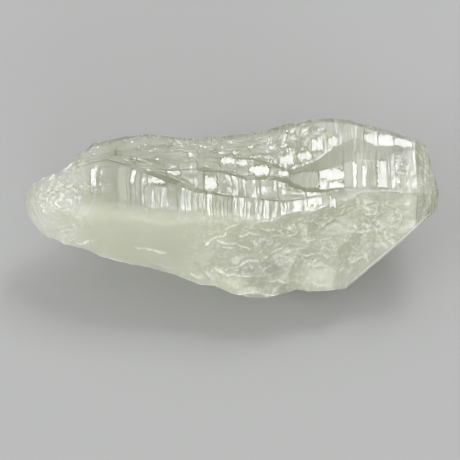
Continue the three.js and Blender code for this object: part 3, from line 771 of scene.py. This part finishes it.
# Masks from 0 to 1, and the other values that are worked out: a name, an operation and what goes
# in, as numbers or the names of earlier ones. FADE is 0 up to the first number, 1 from the second
# on and smooth between. Places are in metres.
for name, kind, *given in [
    # How far above the crease, measured along the spread.
    ("above in Y", "MULTIPLY_ADD", "Y", 0.866, "crease"),
    ("above in YZ", "MULTIPLY_ADD", "Z", 0.5, "above in Y"),
    ("above", "MULTIPLY_ADD", "X", 0.058, "above in YZ"),
    # The broken right part of the front face, and the termination.
    ("past the break", "FADE", "X", -0.022, -0.006),
    ("below the crease", "FADE", "above", 0.002, -0.001),
    ("before the ridge", "FADE", "X", 0.0665, 0.064),
    ("broken side", "MULTIPLY", "past the break", "below the crease"),
    ("broken front", "MULTIPLY", "broken side", "before the ridge"),
    ("point", "FADE", "X", 0.0655, 0.0675),
    # The unbroken left of the front face and the foot of the broken part are milky and warmer.
    ("edge line", "MULTIPLY_ADD", "Z", -0.85, 0.0358),
    ("wavy edge line", "MULTIPLY_ADD", "edge noise", 0.014, "edge line"),
    ("edge", "ADD", "wavy edge line", "X"),
    ("left of the edge", "FADE", "edge", 0.0105, 0.0045),
    ("below the terrace", "FADE", "above", 0.004, -0.003),
    ("left", "MULTIPLY", "left of the edge", "below the terrace"),
    ("near the base", "FADE", "Z", 0.029, 0.0255),
    ("before the tip", "FADE", "X", 0.045, 0.035),
    ("low", "MULTIPLY", "near the base", "before the tip"),
    ("milky parts", "MAXIMUM", "left", "low"),
    ("past the worn end", "FADE", "X", -0.062, -0.042),
    ("milk", "MULTIPLY", "milky parts", "past the worn end"),
    ("front veils", "MULTIPLY", "broken front", 0.7),
    ("point veils", "MULTIPLY", "point", 0.5),
    ("milk and front", "MAXIMUM", "milk", "front veils"),
    ("veils", "MAXIMUM", "milk and front", "point veils"),
    # Crests are white in spots, partly bruised by handling and partly painted highlight along
    # their edges. The struck lines are pale hackles and a pale line along the lower front edge,
    # partly painted highlight. Sugary parts are white in flecks.
    ("crest", "FADE", "curved", 0.515, 0.56),
    ("in spots", "FADE", "spots", 0.44, 0.6),
    ("bruised crest", "MULTIPLY", "crest", "in spots"),
    ("bruised or struck", "MAXIMUM", "bruised crest", "struck"),
    ("sugary front", "MULTIPLY", "broken front", 0.4),
    ("sugary point", "MULTIPLY", "point", 0.7),
    ("sugary and front", "MAXIMUM", "sugary patch", "sugary front"),
    ("sugary", "MAXIMUM", "sugary and front", "sugary point"),
    ("in flecks", "FADE", "flecks", 0.46, 0.7),
    ("sugary flecks", "MULTIPLY", "in flecks", "sugary"),
    ("pale flecks", "MULTIPLY", "sugary flecks", 0.5),
    ("bruised", "MAXIMUM", "bruised or struck", "pale flecks"),
    ("whitened", "MULTIPLY", "bruised", 0.9),
    # Painted shade: hollows are darkened between the spots, and so are the walls of the growth
    # steps, the faces on the upper face that turn towards the front. Streaks along the termination
    # are darkened too.
    ("dip", "FADE", "curved", 0.49, 0.45),
    ("between spots", "FADE", "spots", 0.6, 0.45),
    ("hollow", "MULTIPLY", "dip", "between spots"),
    ("faces front", "FADE", "normal Y", -0.3, -0.6),
    ("on the upper face", "FADE", "above", 0.003, 0.005),
    ("wall", "MULTIPLY", "faces front", "on the upper face"),
    ("in lines", "FADE", "lines", 0.47, 0.6),
    ("streak", "MULTIPLY", "in lines", "point"),
    ("deep hollow", "MULTIPLY", "hollow", 0.4),
    ("deep wall", "MULTIPLY", "wall", 0.45),
    ("deep streak", "MULTIPLY", "streak", 0.4),
    ("hollow or wall", "MAXIMUM", "deep hollow", "deep wall"),
    ("deep", "MAXIMUM", "hollow or wall", "deep streak"),
    # Growth lines cross the upper face in groups and fade over the rounded crease. The worn end
    # and the broken front are grainy instead.
    ("in groups", "FADE", "groups", 0.46, 0.6),
    ("over the crease", "FADE", "above", -0.0015, 0.0015),
    ("lined", "MULTIPLY", "in groups", "over the crease"),
    ("growth lines", "MULTIPLY", "lines", "lined"),
    ("worn", "FADE", "X", -0.042, -0.062),
    ("grainy front", "MULTIPLY", "broken front", 0.6),
    ("grainy", "MAXIMUM", "worn", "grainy front"),
    # Glossy on the grown faces, satin on the left of the front face and near the base, and matt at
    # the worn end.
    ("close to the base", "FADE", "Z", 0.032, 0.018),
    ("satin", "MAXIMUM", "left", "close to the base"),
    ("satin or worn", "MAXIMUM", "satin", "worn"),
    ("matt", "MAXIMUM", "satin or worn", "front veils"),
    ("cloudy", "FADE", "clouds", 0.35, 0.7),
    ("cloudy roughness", "MULTIPLY_ADD", "cloudy", 0.05, 0.04),
    ("roughness", "MULTIPLY_ADD", "matt", 0.17, "cloudy roughness"),
    # Clearer where it is glossy. Veils, bruises and wear let less light through.
    ("clear less satin", "MULTIPLY_ADD", "satin", -0.045, 0.8),
    ("clear less veils", "MULTIPLY_ADD", "veils", -0.25, "clear less satin"),
    ("clear less bruises", "MULTIPLY_ADD", "bruised", -0.5, "clear less veils"),
    ("clear", "MULTIPLY_ADD", "worn", -0.15, "clear less bruises"),
]:
    given = [masks.get(value, value) for value in given]
    if kind == "FADE":
        node = dict(zip(("Value", "From Min", "From Max"), given), interpolation_type="SMOOTHSTEP")
        masks[name] = add(tree, "MapRange", node)[0]
    else:
        masks[name] = add(tree, "Math", {"operation": kind, **dict(enumerate(given))})[0]

# A faint green that varies with the clouds, creamy in the veils, white on bruises, hackles and
# sugary flecks and as painted highlight along crests and the lower front edge, and olive as
# painted shade in hollows and on the walls of the growth steps, and in streaks along the
# termination.
tint_stops = [(0.32, linear("#EBECDB")), (0.5, linear("#F3F4E6")), (0.68, linear("#FAFAF2"))]
cream_stops = [(0.35, linear("#DCDDCA")), (0.65, linear("#E3E4D3"))]
colour = add(tree, "ValToRGB", {"Fac": masks["clouds"], "stops": tint_stops})[0]
cream = add(tree, "ValToRGB", {"Fac": masks["clouds"], "stops": cream_stops})[0]
for mask, other in [
    ("veils", cream),
    ("whitened", linear("#FBFBF5")),
    ("deep", linear("#9A9D78")),
]:
    mix = {"data_type": "RGBA", "Factor": masks[mask], "A": colour, "B": other}
    colour = add(tree, "Mix", mix)["Result"]
# Growth lines or grains, as a bump of 0.3 mm at most.
texture = {
    "data_type": "FLOAT",
    "Factor": masks["grainy"],
    "A": masks["growth lines"],
    "B": masks["grain"],
}
height = add(tree, "Mix", texture)["Result"]
shader = {
    "Base Color": colour,
    "Roughness": masks["roughness"],
    "IOR": 1.544,
    "Transmission Weight": masks["clear"],
    "Subsurface Weight": 1.0,
    "Subsurface Radius": (1.0, 0.98, 0.8),
    "Subsurface Scale": 0.009,
    "Normal": add(tree, "Bump", {"Strength": 0.4, "Distance": 0.0003, "Height": height})[0],
}
absorption = {"Color": linear("#D6D9B4"), "Density": 6.5}
output = {
    "Surface": add(tree, "BsdfPrincipled", shader)[0],
    "Volume": add(tree, "VolumeAbsorption", absorption)[0],
}
add(tree, "OutputMaterial", output)
crystal.data.materials.append(quartz)

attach(crystal, "root")
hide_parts("quartz_crystal")

# ---- Floor ------------------------------------------------------------------------------------
# A plain pale studio floor, matt, and 6 m square so that its edges are far from the crystal on
# every side.

FLOOR_HALF = 3

floor_mesh = bpy.data.meshes.new("floor")
ways = ((-1, -1), (1, -1), (1, 1), (-1, 1))
floor_corners = [(x * FLOOR_HALF, y * FLOOR_HALF, 0) for x, y in ways]
floor_mesh.from_pydata(floor_corners, [], [(0, 1, 2, 3)])
floor = bpy.data.objects.new("floor", floor_mesh)
bpy.context.collection.objects.link(floor)
paper = bpy.data.materials.new("matt studio paper")
paper.use_nodes = True
paper_inputs = paper.node_tree.nodes["Principled BSDF"].inputs
paper_inputs["Base Color"].default_value = linear("#A2A2A0")
paper_inputs["Roughness"].default_value = 0.9
floor_mesh.materials.append(paper)

# ---- Light and camera -------------------------------------------------------------------------
# One soft window behind and above, which the level faces nearly mirror, weaker lights round it,
# and a pale room. Each light is its name, direction, distance, width and height, and power.

CRYSTAL_MIDDLE = np.array([0, 0, 0.03])
LIGHT_COLOUR = (0.93, 0.96, 1)
LIGHTS = [
    ("window", (0.25, 0.43, 0.86), 1.2, (0.3, 0.46), 4.9),
    ("fill", (-0.85, -0.4, 0.4), 1.4, (0.8, 0.8), 6.5),
    ("front card", (0.25, -0.9, 0.3), 1.4, (1.1, 0.5), 7),
    ("sheet", (0.0, 0.5, 0.866), 1.25, (0.4, 0.4), 1.1),
]
# The room from below to above, as places and greys, and its strength.
ROOM_GREYS = [(0.0, 0.3), (0.22, 0.36), (0.55, 1.0), (1.0, 1.1)]
ROOM_STRENGTH = 0.84
# The camera looks down at TARGET from the front, and sees a strip of FRAME_WIDTH there, in metres.
ELEVATION = math.radians(60)
LENS = 150
SENSOR = 36
FRAME_WIDTH = 0.1662
TARGET = np.array([-0.0003, -0.013, 0.0346])

scene = bpy.context.scene
scene.view_settings.view_transform = "Standard"
scene.cycles.transmission_bounces = 16
scene.cycles.max_bounces = 18
room = bpy.data.worlds.new("room")
room.use_nodes = True
sky = room.node_tree
upward = add(sky, "SeparateXYZ", {"Vector": add(sky, "TexCoord", {})["Generated"]})["Z"]
climb = add(sky, "MapRange", {"Value": upward, "From Min": -0.2})[0]
greys = [(position, (grey, grey, grey, 1)) for position, grey in ROOM_GREYS]
walls = add(sky, "ValToRGB", {"Fac": climb, "stops": greys})[0]
sky.links.new(walls, sky.nodes["Background"].inputs["Color"])
sky.nodes["Background"].inputs["Strength"].default_value = ROOM_STRENGTH
scene.world = room

for name, direction, distance, size, power in LIGHTS:
    light = bpy.data.lights.new(name, "AREA")
    light.shape = "RECTANGLE"
    light.size, light.size_y = size
    light.energy = power
    light.color = LIGHT_COLOUR
    lamp = bpy.data.objects.new(name, light)
    bpy.context.collection.objects.link(lamp)
    # It is turned towards the crystal, with its width level.
    way = np.array(direction) / np.linalg.norm(direction)
    lamp.location = way * distance + CRYSTAL_MIDDLE
    level = np.cross((0.0, 0.0, 1.0), way)
    level = level / np.linalg.norm(level)
    axes = np.stack((level, np.cross(way, level), way), 1)
    lamp.rotation_mode = "QUATERNION"
    lamp.rotation_quaternion = Matrix(axes.tolist()).to_quaternion()

back = np.array([0, -math.cos(ELEVATION), math.sin(ELEVATION)])
camera = bpy.data.objects.new("camera", bpy.data.cameras.new("camera"))
camera.data.lens = LENS
camera.data.sensor_width = SENSOR
camera.data.clip_end = 20
camera.location = TARGET + back * (FRAME_WIDTH * LENS / SENSOR)
camera.rotation_euler = (math.pi / 2 - ELEVATION, 0, 0)
bpy.context.collection.objects.link(camera)
scene.camera = camera
